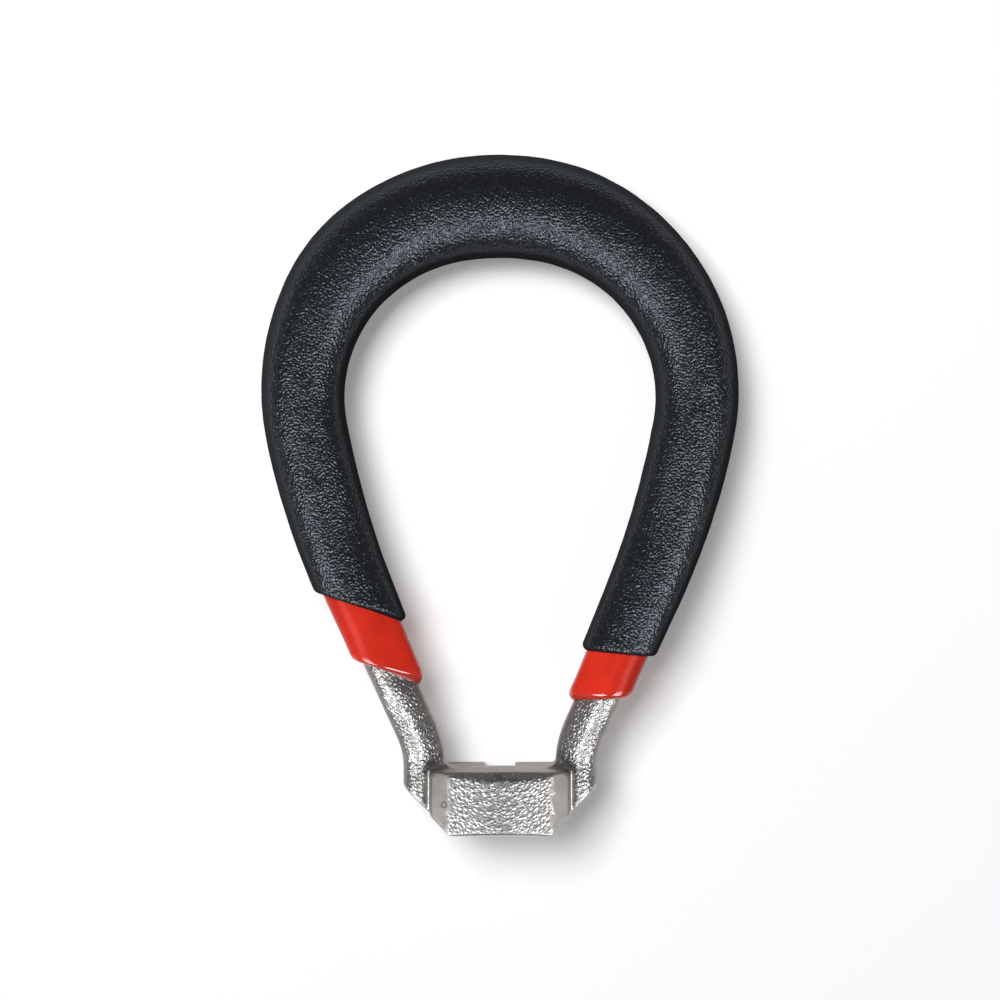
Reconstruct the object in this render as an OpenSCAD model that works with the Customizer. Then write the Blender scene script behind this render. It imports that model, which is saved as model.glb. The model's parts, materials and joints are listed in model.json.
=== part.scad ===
// Spoke wrench: a one-piece steel loop whose head holds the nipple slot, dipped twice in vinyl.
// The loop is laid out in its own plane: X to the right, Y from the head's sole up to the crown,
// Z towards the viewer. It is then laid on its back, resting on its jaws and its crown.

/* [Handle loop] */
// Bend radius of the crown, to the middle of the bar
crown_bend_r = 26.8; // [24:0.1:30]
// Turn of the crown on each side of its middle, in degrees
crown_turn_angle = 11.1; // [9:0.1:13]
// Bend radius of each shoulder
shoulder_bend_r = 20.8; // [18:0.1:23]
// Turn of each shoulder, in degrees
shoulder_turn_angle = 90; // [87:0.5:93]
// Bend radius of each flank
flank_bend_r = 90; // [80:1:100]
// Turn of each flank, in degrees
flank_turn_angle = 12.3; // [11:0.1:14]
// Bend radius where each arm turns to run square into the head
foot_bend_r = 10.6; // [8:0.1:13]

/* [Bar] */
// Width of the bar at the crown
bar_crown_w = 8.4; // [7:0.1:9.5]
// Thickness of the bar at the crown
bar_crown_t = 6; // [5:0.1:7]
// Width of the bar at the end of the shoulders
bar_flank_w = 6.1; // [5:0.1:7]
// Thickness of the bar at the end of the shoulders
bar_flank_t = 5.4; // [4.5:0.1:6.4]
// Width of each leg
leg_w = 4.6; // [4:0.1:5.4]
// Thickness of each leg
leg_t = 5; // [4:0.1:6]
// How square the section is along the loop, where 2 is an ellipse
loop_square_ratio = 2.3; // [2:0.1:3]
// How square the section of the legs is
leg_square_ratio = 3.4; // [2.4:0.1:4]

/* [Head] */
// Distance between the middles of the two legs
leg_spacing = 17; // [15:0.1:20]
// Height of the head along the nipple
head_h = 7.1; // [6:0.1:9]
// How far each leg is cranked back from the plane of the loop
leg_setback = 1.6; // [0.5:0.1:2.5]
// Length over which each leg is cranked back
crank_run = 9.6; // [7:0.1:13]
// Straight run of each leg above the head
leg_run = 0.2; // [0.1:0.1:2]
// Height of the pad's front face in front of the plane of the loop
pad_stand = 3.6; // [3:0.1:4.5]
// How far inside the middle of each leg the side of the pad stands
pad_inset = 0.75; // [0:0.05:1.2]
// Width of the ground panel on each side of the pad's face
pad_panel_w = 2.05; // [1:0.05:2.6]
// How far each ground panel falls back over its width
pad_panel_fall = 0.8; // [0.3:0.05:1.5]
// How far the pad's face falls from its middle to its ground panels
pad_crown = 0.25; // [0.1:0.05:0.6]
// Bevel between the pad's front face and the top of the head
pad_top_bevel = 1; // [0.4:0.05:1.5]
// Bevel between the pad's front face and the sole of the head
pad_sole_bevel = 0.35; // [0.1:0.05:0.8]
// Size of the 45 degree cut that takes off each outer corner of the head
corner_cut = 5.2; // [3:0.1:6]
// Width of the cast fillet between each leg and the top of the head
fillet_w = 2.2; // [1:0.1:3]
// Height of the cast fillet between each leg and the top of the head
fillet_h = 0.8; // [0.4:0.1:1.5]

/* [Jaws] */
// Width of the slot across the flats of the nipple
slot_w = 3.45; // [3.2:0.01:4.4]
// Depth of the slot, from the back of the jaws to its seat
slot_depth = 4.8; // [3.6:0.1:5.5]
// Metal on each side of the slot, at the back of the jaws
jaw_wall = 5.1; // [3:0.1:6]
// Metal between the seat of the slot and the plane of the loop
seat_wall = 4.4; // [3.6:0.1:5.5]
// Bevel at each side of the slot's mouth
mouth_bevel = 0.4; // [0.1:0.05:0.8]
// Bevel along the outer edges of the jaws
jaw_bevel = 0.35; // [0.2:0.05:1]

/* [Vinyl coats] */
// Thickness of the first, red coat
base_coat_t = 0.85; // [0.5:0.05:1.2]
// Thickness of the second, black coat
over_coat_t = 0.72; // [0.5:0.01:1.2]
// Bare bar between the first coat and the head on the left
bare_run_left = 11.4; // [9:0.1:14]
// Bare bar between the first coat and the head on the right
bare_run_right = 8.1; // [7:0.1:12]
// Length of the first coat that shows on the left
band_left = 7.9; // [5:0.1:10]
// Length of the first coat that shows on the right
band_right = 5.6; // [4:0.1:9]
// Slant of the first coat's end on the left, in degrees from square to the bar
base_slant_left_angle = 38; // [0:1:45]
// Slant of the first coat's end on the right, in degrees from square to the bar
base_slant_right_angle = 22; // [0:1:45]
// Slant of the second coat's end on the left, in degrees from square to the bar
over_slant_left_angle = 38; // [0:1:45]
// Slant of the second coat's end on the right, in degrees from square to the bar
over_slant_right_angle = 16; // [0:1:45]

/* [Hidden] */

// Sides of the bar's section, and rings along each stretch of one half of the loop
section_sides = 20;
crown_rings = 2;
shoulder_rings = 11;
flank_rings = 5;
band_rings = 1;
bare_rings = 3;
foot_rings = 3;

// A coat's edge is blunt, and rounds up to the full thickness over one thickness
blunt_edge_share = 0.35;
bead_place_shares = [0.4, 0.12, 0];

// The pad's face bends half way out, and has fallen by this share of its fall there
pad_bend_share = 0.3;
fillet_steps = 4;

// How far cuts run past the metal
overrun = 1;

// A turn to the right is positive, and a place on the loop is [x, y, turn so far]
function run_of(r, turn) = r * turn * PI / 180;
function turn_of(r, run) = run / r * 180 / PI;
function around(place, r, turn) = [
    place[0] + r * (sin(place[2] + turn) - sin(place[2])),
    place[1] + r * (cos(place[2] + turn) - cos(place[2])),
    place[2] + turn,
];
function along(place, run) = [
    place[0] + run * cos(place[2]),
    place[1] - run * sin(place[2]),
    place[2],
];

// The right half of the loop, from the middle of the crown down to the head
arm_lean = crown_turn_angle + shoulder_turn_angle + flank_turn_angle - 90;
crown_start = [0, 0, 0];
shoulder_start = around(crown_start, crown_bend_r, crown_turn_angle);
flank_start = around(shoulder_start, shoulder_bend_r, shoulder_turn_angle);
arm_start = around(flank_start, flank_bend_r, flank_turn_angle);
foot_inset = foot_bend_r * (1 - cos(arm_lean));
arm_run = (arm_start[0] - foot_inset - leg_spacing / 2) / sin(arm_lean);
foot_start = along(arm_start, arm_run);
leg_start = around(foot_start, -foot_bend_r, -arm_lean);

// Where each stretch ends, measured along the bar from the middle of the crown
crown_end_s = run_of(crown_bend_r, crown_turn_angle);
shoulder_end_s = crown_end_s + run_of(shoulder_bend_r, shoulder_turn_angle);
flank_end_s = shoulder_end_s + run_of(flank_bend_r, flank_turn_angle);
arm_end_s = flank_end_s + arm_run;
leg_start_s = arm_end_s + run_of(foot_bend_r, arm_lean);
sole_s = leg_start_s + leg_run + head_h;

function relative_place(s) =
    s < crown_end_s ? around(crown_start, crown_bend_r, turn_of(crown_bend_r, s)) :
    s < shoulder_end_s ?
        around(shoulder_start, shoulder_bend_r, turn_of(shoulder_bend_r, s - crown_end_s)) :
    s < flank_end_s ? around(flank_start, flank_bend_r, turn_of(flank_bend_r, s - shoulder_end_s)) :
    s < arm_end_s ? along(arm_start, s - flank_end_s) :
    s < leg_start_s ?
        around(foot_start, -foot_bend_r, -turn_of(foot_bend_r, s - arm_end_s)) :
    along(leg_start, s - leg_start_s);
crown_y = head_h + leg_run - leg_start[1];
function place_at(s) = relative_place(s) + [0, crown_y, 0];

// The bar's half width, half thickness, squareness and set back at a place along it
function ease(x) = let (t = max(0, min(1, x))) t * t * (3 - 2 * t);
function mix(a, b, x) = a + (b - a) * ease(x);
function tapered(s, crown, flank, leg) =
    s < shoulder_end_s ? mix(crown, flank, s / shoulder_end_s) :
    mix(flank, leg, (s - shoulder_end_s) / (arm_end_s - shoulder_end_s));
function half_w(s) = tapered(s, bar_crown_w, bar_flank_w, leg_w) / 2;
function half_t(s) = tapered(s, bar_crown_t, bar_flank_t, leg_t) / 2;
function squareness(s) = tapered(s, loop_square_ratio, loop_square_ratio, leg_square_ratio);
function setback(s) = mix(0, leg_setback, (s - leg_start_s + crank_run) / crank_run);

// Where each coat ends on one side, which is 1 on the right and -1 on the left
function base_end(side) = leg_start_s - (side > 0 ? bare_run_right : bare_run_left);
function over_end(side) = base_end(side) - (side > 0 ? band_right : band_left);

// How far a ring at s runs ahead on the inside of the bar and lags on the outside
function slant_run(s, angle, thickness) = (half_w(s) + thickness) * tan(angle);
function base_lag(side) =
    let (angle = side > 0 ? base_slant_right_angle : base_slant_left_angle)
    slant_run(base_end(side), angle, base_coat_t);
function over_lag(side) =
    let (angle = side > 0 ? over_slant_right_angle : over_slant_left_angle)
    slant_run(over_end(side), angle, base_coat_t + over_coat_t);
function lag(s, side) =
    s < over_end(side) ?
        mix(0, over_lag(side), (s - crown_end_s) / (over_end(side) - crown_end_s)) :
    s < base_end(side) ?
        mix(over_lag(side), base_lag(side), (s - over_end(side)) / (base_end(side) - over_end(side))) :
    mix(base_lag(side), 0, (s - base_end(side)) / (leg_start_s - base_end(side)));

// The ring stations, in order from the left leg round to the right one. A left station is negative.
function steps(low, high, count) = [for (i = [1:count]) low + (high - low) * i / count];
function bead(end, thickness) = [for (share = bead_place_shares) end - thickness * share];
function half_stations(side) = concat(
    steps(0, crown_end_s, crown_rings),
    steps(crown_end_s, shoulder_end_s, shoulder_rings),
    steps(shoulder_end_s, over_end(side) - over_coat_t, flank_rings),
    bead(over_end(side), over_coat_t),
    steps(over_end(side), base_end(side) - base_coat_t, band_rings),
    bead(base_end(side), base_coat_t),
    steps(base_end(side), arm_end_s, bare_rings),
    steps(arm_end_s, leg_start_s, foot_rings),
    [sole_s]
);
function backwards(list) = [for (i = [len(list) - 1:-1:0]) -list[i]];
stations = concat(backwards(half_stations(-1)), [0], half_stations(1));

// A ring of points on the bar, or on a coat that stands a given rise above it
function power(x, p) = sign(x) * pow(abs(x), p);
function ring(station, rise) = let (side = station < 0 ? -1 : 1, middle = abs(station)) [
    for (i = [0:section_sides - 1])
        let (
            angle = 360 * i / section_sides,
            p = 2 / squareness(middle),
            s = middle - lag(middle, side) * power(cos(angle), p),
            out = (half_w(s) + rise) * power(cos(angle), p),
            up = (half_t(s) + rise) * power(sin(angle), p),
            place = place_at(s)
        )
        [side * (place[0] + out * sin(place[2])), place[1] + out * cos(place[2]), up - setback(s)]
];

// Faces between rings, with every four-sided patch split along the same diagonal
function flat(lists) = [for (list = lists) for (item = list) item];
function next(i) = (i + 1) % section_sides;
function at(row, i) = row * section_sides + i;
function skin(first, rows) = [
    for (row = [first:first + rows - 2], i = [0:section_sides - 1], half = [0, 1])
        half == 0 ? [at(row, i), at(row + 1, i), at(row + 1, next(i))] :
        [at(row, i), at(row + 1, next(i)), at(row, next(i))]
];
function rim(outer, inner) = [
    for (i = [0:section_sides - 1], half = [0, 1])
        half == 0 ? [at(outer, i), at(outer, next(i)), at(inner, next(i))] :
        [at(outer, i), at(inner, next(i)), at(inner, i)]
];
function inside_out(faces) = [for (face = faces) [face[2], face[1], face[0]]];

module bar() {
    rows = len(stations);
    first_end = [for (i = [0:section_sides - 1]) at(0, i)];
    last_end = [for (i = [section_sides - 1:-1:0]) at(rows - 1, i)];
    polyhedron(
        points = flat([for (station = stations) ring(station, 0)]),
        faces = concat([first_end], skin(0, rows), [last_end])
    );
}

// The share of a coat's thickness that it has at a distance from its end
function fullness(gap, thickness) =
    let (x = min(1, gap / thickness))
    blunt_edge_share + (1 - blunt_edge_share) * sqrt(1 - (1 - x) * (1 - x));

// A coat from its left end to its right end, on whatever stands at the inner rise
module coat(left_end, right_end, inner_rise, thickness) {
    covered = [for (station = stations) if (station >= -left_end && station <= right_end) station];
    rows = len(covered);
    outside = [
        for (station = covered)
            let (gap = station < 0 ? station + left_end : right_end - station)
            ring(station, inner_rise + thickness * fullness(gap, thickness))
    ];
    inside = [for (station = covered) ring(station, inner_rise)];
    polyhedron(
        points = flat(concat(outside, inside)),
        faces = concat(
            skin(0, rows),
            inside_out(skin(rows, rows)),
            rim(0, rows),
            inside_out(rim(rows - 1, 2 * rows - 1))
        )
    );
}

// The head, seen from above, from the side, and its slot and corner cuts
jaw_back = seat_wall + slot_depth;
pad_half_w = leg_spacing / 2 - pad_inset;
face_half_w = pad_half_w - pad_panel_w;
jaw_half_w = slot_w / 2 + jaw_wall;
leg_back = leg_setback + leg_t / 2;
leg_outer = leg_spacing / 2 + leg_w / 2;
leg_inner = leg_spacing / 2 - leg_w / 2;

module mirrored(points) {
    polygon(concat(points, [for (i = [len(points) - 1:-1:0]) [-points[i][0], points[i][1]]]));
}

module head_plan() {
    mirrored([
        [face_half_w / 2, pad_stand - pad_crown * pad_bend_share],
        [face_half_w, pad_stand - pad_crown],
        [pad_half_w, pad_stand - pad_crown - pad_panel_fall],
        [pad_half_w, -leg_back],
        [jaw_half_w, jaw_bevel - jaw_back],
        [jaw_half_w - jaw_bevel, -jaw_back],
    ]);
}

head_profile = [
    [0, pad_stand - pad_sole_bevel],
    [pad_sole_bevel, pad_stand],
    [head_h - pad_top_bevel, pad_stand],
    [head_h, pad_stand - pad_top_bevel],
    [head_h, jaw_bevel - jaw_back],
    [head_h - jaw_bevel, -jaw_back],
    [jaw_bevel, -jaw_back],
    [0, jaw_bevel - jaw_back],
];

module head_block() {
    intersection() {
        rotate([90, 0, 0]) mirror([0, 0, 1]) linear_extrude(head_h) head_plan();
        rotate([0, 90, 0]) rotate([0, 0, 90])
            linear_extrude(2 * leg_outer, center = true) polygon(head_profile);
    }
}

// The fillet that the casting has between the inner side of each leg and the top of the head
module fillet(side) {
    curve = [
        for (i = [0:fillet_steps])
            let (angle = 90 * i / fillet_steps)
            [leg_inner - fillet_w * (1 - sin(angle)), head_h + fillet_h * (1 - cos(angle))]
    ];
    root = [[leg_spacing / 2, head_h + fillet_h], [leg_spacing / 2, head_h / 2]];
    outline = concat(curve, root, [[leg_inner - fillet_w, head_h / 2]]);
    translate([0, 0, -leg_back]) linear_extrude(leg_t)
        polygon([for (point = outline) [side * point[0], point[1]]]);
}

module slot() {
    rotate([90, 0, 0]) translate([0, 0, -head_h - overrun]) linear_extrude(head_h + 2 * overrun)
        mirrored([
            [slot_w / 2, -seat_wall],
            [slot_w / 2, mouth_bevel - jaw_back],
            [slot_w / 2 + mouth_bevel, -jaw_back],
            [slot_w / 2 + mouth_bevel, -jaw_back - overrun],
        ]);
}

module corner_cuts() {
    sole_half_w = leg_outer - corner_cut;
    reach = corner_cut + overrun;
    for (side = [-1, 1])
        translate([0, 0, -jaw_back - overrun]) linear_extrude(jaw_back + pad_stand + 2 * overrun)
            polygon([
                [side * (sole_half_w - overrun), -overrun],
                [side * (leg_outer + overrun), -overrun],
                [side * (leg_outer + overrun), reach],
                [side * (sole_half_w + reach), reach],
            ]);
}

// On its back the tool rests on the upper edge of its jaws and on the back of its crown. The lean
// that brings both down to one level is found by going round a few times.
lean_round_count = 6;
crown_back = ring(0, base_coat_t + over_coat_t);
jaw_rest = [head_h - jaw_bevel, -jaw_back];
function level_of(y, z, lean) = z * cos(lean) - y * sin(lean);
function lowest(points, lean) = min([for (point = points) level_of(point[1], point[2], lean)]);
function better_lean(lean) =
    lean + asin((lowest(crown_back, lean) - level_of(jaw_rest[0], jaw_rest[1], lean)) / crown_y);
function settled_lean(lean, rounds) =
    rounds < 1 ? lean : settled_lean(better_lean(lean), rounds - 1);
lean = settled_lean(0, lean_round_count);
rest_level = level_of(jaw_rest[0], jaw_rest[1], lean);
function reach_of(y, z) = y * cos(lean) + z * sin(lean);
crown_reach = max([for (point = crown_back) reach_of(point[1], point[2])]);
sole_reach = min([for (point = head_profile) reach_of(point[0], point[1])]);

module laid_down() {
    translate([0, -(crown_reach + sole_reach) / 2, -rest_level]) rotate([-lean, 0, 0]) children();
}

// The steel tool, cast in one piece
module wrench_body() {
    color("silver") laid_down() difference() {
        union() {
            bar();
            head_block();
            for (side = [-1, 1]) fillet(side);
        }
        slot();
        corner_cuts();
    }
}

// The first dip of vinyl, which shows as a band at each end of the second
module base_coat() {
    color([0.84, 0.18, 0.13]) laid_down()
        coat(base_end(-1), base_end(1), 0, base_coat_t);
}

// The second dip of vinyl, grained to the touch
module over_coat() {
    color([0.13, 0.14, 0.15]) laid_down()
        coat(over_end(-1), over_end(1), base_coat_t, over_coat_t);
}

wrench_body();
base_coat();
over_coat();
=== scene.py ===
import json
import math

import bmesh
import bpy
import numpy as np
from bpy.props import FloatProperty, FloatVectorProperty, PointerProperty
from mathutils import Matrix, Vector, noise


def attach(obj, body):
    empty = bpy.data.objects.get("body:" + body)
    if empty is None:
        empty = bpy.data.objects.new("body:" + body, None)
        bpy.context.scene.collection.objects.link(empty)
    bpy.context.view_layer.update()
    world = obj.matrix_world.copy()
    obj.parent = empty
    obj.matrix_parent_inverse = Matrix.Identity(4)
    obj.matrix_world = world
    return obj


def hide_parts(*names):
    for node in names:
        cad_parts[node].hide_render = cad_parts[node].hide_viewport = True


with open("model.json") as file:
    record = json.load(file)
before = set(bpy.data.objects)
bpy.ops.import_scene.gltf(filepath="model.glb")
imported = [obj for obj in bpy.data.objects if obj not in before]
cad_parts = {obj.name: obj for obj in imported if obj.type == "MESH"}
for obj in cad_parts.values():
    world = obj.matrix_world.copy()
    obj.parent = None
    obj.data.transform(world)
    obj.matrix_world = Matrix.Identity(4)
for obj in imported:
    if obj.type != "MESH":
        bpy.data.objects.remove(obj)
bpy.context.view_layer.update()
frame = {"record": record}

bl_info = {
    "name": "Spoke Wrench",
    "version": (1, 0, 0),
    "blender": (4, 5, 0),
    "location": "View3D > Sidebar > Spoke Wrench",
    "description": "Builds a dipped spoke wrench and the stage that it is shown on",
    "category": "Add Mesh",
}

LEFT, RIGHT = -1, 1
SIDES = (LEFT, RIGHT)

# The remesh can't go finer than a tenth of a millimetre, so the casting is worked at this many
# times its size.
BENCH_SCALE = 1000
TO_BENCH = Matrix.Scale(BENCH_SCALE, 4)
FROM_BENCH = Matrix.Scale(1 / BENCH_SCALE, 4)

# The unevenness of the bend: how far from the crown's middle the shoulders swell, over what
# run, and the share of the left one's swell by which the right one falls back.
SWELL_PLACE = 0.0185
SWELL_RUN = 0.0075
FALL_BACK_SHARE = 0.35

# The front of each arm starts to fall at this share of its half width outside its middle, and
# is down in full at its inner edge. It takes the fall on over this run past the shoulder.
FALL_START_SHARE = 0.3
FALL_RUN = 0.014

# The points of one ring in each sweep: their count, and the half width, the half thickness and
# the squareness of the section on which they are spaced evenly.
LEG_RING = (72, 0.0025, 0.0025, 3.2)
COVERED_RING = (40, 0.0025, 0.0025, 3.2)
FIRST_RING = (96, 0.0036, 0.0034, 2.5)
SECOND_RING = (128, 0.005, 0.0043, 2.3)
FINE_STEPS = 20001

# How many rings each sweep has, and how many points each fillet.
LEG_ROWS, COVERED_ROWS, LIP_ROWS, BACK_ROWS = 90, 120, 9, 70
LEG_FILLET_STEPS, WALL_FILLET_STEPS = 9, 7

# How far in under the first dip a leg starts and the covered bar ends, how far a part that is
# sunk in another stays under its skin, how far a cutter runs past what it cuts, and how close
# to a cut a point counts as being on it.
LEG_REACH = 0.005
COVERED_REACH = 0.004
SUNK = 0.00005
OVERRUN = 0.001
ON_CUT = 1e-7

# How many times as wide as deep the pad's top bevel is, and the worn edges at the cut corners
# and at the sole.
TOP_BEVEL_SLOPE, CORNER_SLOPE, SOLE_SLOPE = 2, 4, 5

# The colour sockets of a Mix node share their names with others, so they go by number.
MIX_A, MIX_B = 6, 7

# The width of the camera's sensor, in millimetres.
SENSOR_WIDTH = 36


def number(name, description, default, **kind):
    return FloatProperty(name=name, description=description, default=default, **kind)


def triple(name, description, default, **kind):
    return FloatVectorProperty(
        name=name, description=description, default=default, size=3, **kind
    )


def length(name, description, default):
    """A size in metres."""
    metres = {"unit": "LENGTH", "subtype": "DISTANCE", "precision": 6}
    return number(name, description, default, **metres)


def spot(name, description, default):
    """A place in metres."""
    metres = {"unit": "LENGTH", "subtype": "XYZ", "precision": 6}
    return triple(name, description, default, **metres)


def angle(name, description, degrees):
    """An angle that is given in degrees and kept in radians."""
    radians = {"unit": "ROTATION", "subtype": "ANGLE"}
    return number(name, description, math.radians(degrees), **radians)


def share(name, description, default, high=1.0):
    """A plain number from zero up."""
    return number(name, description, default, min=0, max=high)


def watts(name, description, default):
    """The power of a lamp."""
    return number(name, description, default, min=0, unit="POWER")


def colour(name, description, default):
    """A colour, as linear red, green and blue."""
    return triple(name, description, default, min=0, max=1, subtype="COLOR")


class LoopSizes(bpy.types.PropertyGroup):
    """The bar's line, from the middle of the crown round to the head, and its section."""

    crown_bend_radius: length(
        "Crown bend", "Bend radius of the crown, to the middle of the bar", 0.0268
    )
    crown_turn: angle("Crown turn", "Turn of the crown on each side of its middle", 11.1)
    shoulder_bend_radius: length("Shoulder bend", "Bend radius of each shoulder", 0.0208)
    shoulder_turn: angle("Shoulder turn", "Turn of each shoulder", 90)
    flank_bend_radius: length("Flank bend", "Bend radius of each flank", 0.09)
    flank_turn: angle("Flank turn", "Turn of each flank", 12.3)
    foot_bend_radius: length(
        "Foot bend", "Bend radius where each arm turns square into the head", 0.0106
    )
    leg_spacing: length("Leg spacing", "Distance between the middles of the two legs", 0.017)
    crown_width: length("Crown width", "Width of the bar at the crown", 0.0084)
    crown_thickness: length("Crown thickness", "Thickness of the bar at the crown", 0.006)
    flank_width: length("Flank width", "Width of the bar at the end of the shoulders", 0.0061)
    flank_thickness: length(
        "Flank thickness", "Thickness of the bar at the end of the shoulders", 0.0054
    )
    leg_width: length("Leg width", "Width of each leg", 0.0046)
    leg_thickness: length("Leg thickness", "Thickness of each leg", 0.005)
    loop_squareness: share(
        "Loop squareness",
        "How square the section is along the loop, where 2 is an ellipse",
        2.3,
        6,
    )
    leg_squareness: share("Leg squareness", "How square the section of the legs is", 3.4, 6)
    leg_setback: length("Leg setback", "How far each leg is cranked back from the loop", 0.0016)
    crank_run: length("Crank run", "Length over which each leg is cranked back", 0.0096)
    leg_run: length("Leg run", "Straight run of each leg above the head", 0.0002)
    inner_fall: length(
        "Inner fall", "How far the front of each arm falls away on its inner side", 0.0011
    )
    shoulder_swell: length("Shoulder swell", "How far the left shoulder swells outwards", 0.0004)


class HeadSizes(bpy.types.PropertyGroup):
    """The head, its slot, and the finish of the bare steel, with the painted highlight and shade of
    its plate.
    """

    height: length("Head height", "Height of the head along the nipple", 0.0071)
    pad_stand: length("Pad stand", "Height of the pad's face in front of the loop's plane", 0.0036)
    pad_inset: length(
        "Pad inset", "How far inside the middle of each leg the pad's side is", 0.00075
    )
    pad_crown: length(
        "Pad crown", "How far the pad's face falls from its middle to its panels", 0.00025
    )
    pad_corner: length("Pad corner", "Size of the cut off each upper corner of the pad", 0.0005)
    panel_width: length("Panel width", "Width of the ground panel on each side of the pad", 0.00205)
    panel_fall: length("Panel fall", "How far each ground panel falls back over its width", 0.0008)
    top_bevel: length("Top bevel", "Bevel between the pad's face and top", 0.001)
    sole_bevel: length("Sole bevel", "Bevel between the pad's face and sole", 0.00035)
    corner_cut: length("Corner cut", "Size of the cut off each outer corner of the head", 0.0052)
    slot_width: length("Slot width", "Width of the slot across the flats of the nipple", 0.00345)
    slot_depth: length("Slot depth", "Depth of the slot to its seat", 0.0048)
    jaw_wall: length("Jaw wall", "Metal on each side of the slot", 0.0051)
    seat_wall: length("Seat wall", "Metal between the slot's seat and the loop's plane", 0.0044)
    mouth_bevel: length("Mouth bevel", "Bevel at each side of the slot's mouth", 0.0004)
    jaw_bevel: length("Jaw bevel", "Bevel along the jaws' outer edges", 0.00035)
    fillet_width: length(
        "Fillet width", "Width of the cast fillet between a leg and the head", 0.0022
    )
    fillet_height: length(
        "Fillet height", "Height of the cast fillet between a leg and the head", 0.0008
    )
    wall_fillet: length(
        "Wall fillet", "Radius of the fillet between the pad's side and a leg", 0.0004
    )
    edge_round: length(
        "Edge round", "Width of the worn edge along the sole and the cut corners", 0.00045
    )
    grid: length("Grid", "Spacing of the casting's mesh", 0.000165)
    pebble_length: length("Pebble length", "Length of one cast pebble", 0.00055)
    pebble_width: length("Pebble width", "Width of one cast pebble", 0.0003)
    pebble_height: length("Pebble height", "Height of one cast pebble", 0.00004)
    pebble_tilt: angle("Pebble tilt", "How far the pebbles slope up and outwards", 30)
    mark_place: spot(
        "Mark place",
        "Middle of the small ring mark on the left panel",
        (-0.00617, 0.0035, 0.00317),
    )
    mark_radius: length("Mark radius", "Radius of the small ring mark", 0.0003)
    # The pits are painted darker than the pebbles as painted shade, so that the pebbles stand out
    # as painted highlight.
    pit_colour: colour("Pits", "Colour of the nickel in the pits", (0.34, 0.335, 0.33))
    pebble_colour: colour("Pebbles", "Colour of the nickel on the pebbles", (0.585, 0.58, 0.575))
    ground_colour: colour(
        "Ground steel", "Colour of the smooth ground faces", (0.355, 0.334, 0.316)
    )


class DipSizes(bpy.types.PropertyGroup):
    """The two dips of vinyl, where they end, and their finishes."""

    first_thickness: length("First dip", "Thickness of the first dip", 0.00085)
    second_thickness: length("Second dip", "Thickness of the second dip", 0.00072)
    bare_run_left: length(
        "Bare run left", "Bare bar between the first dip and the head, left", 0.0114
    )
    bare_run_right: length(
        "Bare run right", "Bare bar between the first dip and the head, right", 0.0081
    )
    band_left: length("Band left", "Length of the first dip that shows on the left", 0.0079)
    band_right: length("Band right", "Length of the first dip that shows on the right", 0.0056)
    first_slant_left: angle("First slant left", "Slant of the first dip's end", 38)
    first_slant_right: angle("First slant right", "Slant of the first dip's end", 22)
    second_slant_left: angle("Second slant left", "Slant of the second dip's end", 38)
    second_slant_right: angle("Second slant right", "Slant of the second dip's end", 16)
    grain_size: length("Grain size", "Size of one grain of the second dip", 0.00024)
    lump_height: length("Lump height", "Height of the soft lumps of the second dip", 0.00003)
    first_colour: colour("First colour", "Colour of the first dip", (0.8, 0.036, 0.018))
    second_colour: colour("Second colour", "Colour of the second dip", (0.0105, 0.0118, 0.0148))
    # Painted reflection: the flat colour of the edges stands in for the reflection that they would
    # show.
    edge_sheen_colour: colour(
        "Edge colour",
        "Colour of the second dip where it is seen edge on",
        (0.031, 0.034, 0.038),
    )


class StageSizes(bpy.types.PropertyGroup):
    """The camera, the lamps and the floor."""

    camera_distance: length("Camera distance", "From the camera to the loop", 0.3)
    view_width: length("View width", "Width of the picture at the loop", 0.11144)
    aim_height: length(
        "Aim height", "Point of the loop that the camera aims at, above the sole", 0.0371
    )
    key_place: spot("Key place", "Place of the lamp overhead", (-0.22, 0.23, 0.73))
    key_width: length("Key width", "Width of the lamp overhead", 0.34)
    key_power: watts("Key power", "Power of the lamp overhead", 5.7)
    gloss_place: spot(
        "Gloss place", "Place of the right lamp that gives highlights", (0.25, -0.2, 0.46)
    )
    gloss_width: length("Gloss width", "Width of each lamp that gives highlights", 0.27)
    gloss_power: watts("Gloss power", "Power of each lamp that gives highlights", 1.75)
    ambient: share("Ambient", "Strength of the light from all round", 0.1)
    ceiling: share("Ceiling", "Brightness of the studio's ceiling", 0.09)
    walls: share("Walls", "Brightness of the studio's walls in reflections", 0.18)
    floor_width: length("Floor width", "Width of the floor", 1.6)
    floor_white: share("Floor white", "How white the floor is", 0.9)
    floor_glow: share("Floor glow", "White that the floor adds for the eye", 0.23)


def ease(x):
    """A smooth step from 0 to 1."""
    t = np.clip(x, 0, 1)
    return t * t * (3 - 2 * t)


def mix(a, b, x):
    """A smooth change from a to b while x goes from 0 to 1."""
    return a + (b - a) * ease(x)


def power(x, exponent):
    """A power that keeps the sign."""
    return np.sign(x) * np.abs(x) ** exponent


def near(distance, width, reach=1.5):
    """1 close to a line and 0 beyond its reach, which is counted in widths, with a smooth
    fall over the last width."""
    return ease(reach - distance / width)


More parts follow.
